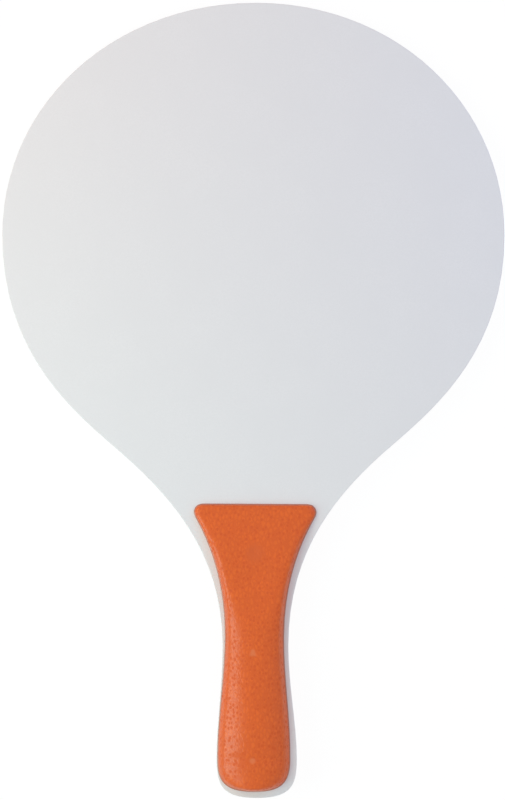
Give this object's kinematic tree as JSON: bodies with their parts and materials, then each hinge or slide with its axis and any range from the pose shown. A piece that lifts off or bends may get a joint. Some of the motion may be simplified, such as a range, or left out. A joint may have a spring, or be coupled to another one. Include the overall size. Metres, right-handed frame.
{
  "type": "beach tennis racket",
  "caption": "Flat oval paddle whose head flows through concave shoulders into a handle, with a moulded leather-grained grip half on each side of it.",
  "frame": {"origin": "the middle of the racket's box: half way along it, across it and through it", "axes": "+Y from the butt to the top of the head, +Z out of the front face, +X to the right as seen from the front"},
  "size_m": [0.24, 0.38, 0.0242],
  "materials": {
    "board": "bare light brown fibreboard edge, matt",
    "facing": "white satin foil",
    "grip": "orange, fine leather grain, satin",
    "pin": "natural, smooth"
  },
  "bodies": {
    "root": {"blade_core": "board", "front_facing": "facing", "back_facing": "facing", "front_grip": "grip", "back_grip": "grip", "lower_pin": "pin", "middle_pin": "pin", "upper_pin": "pin"}
  },
  "joints": []
}
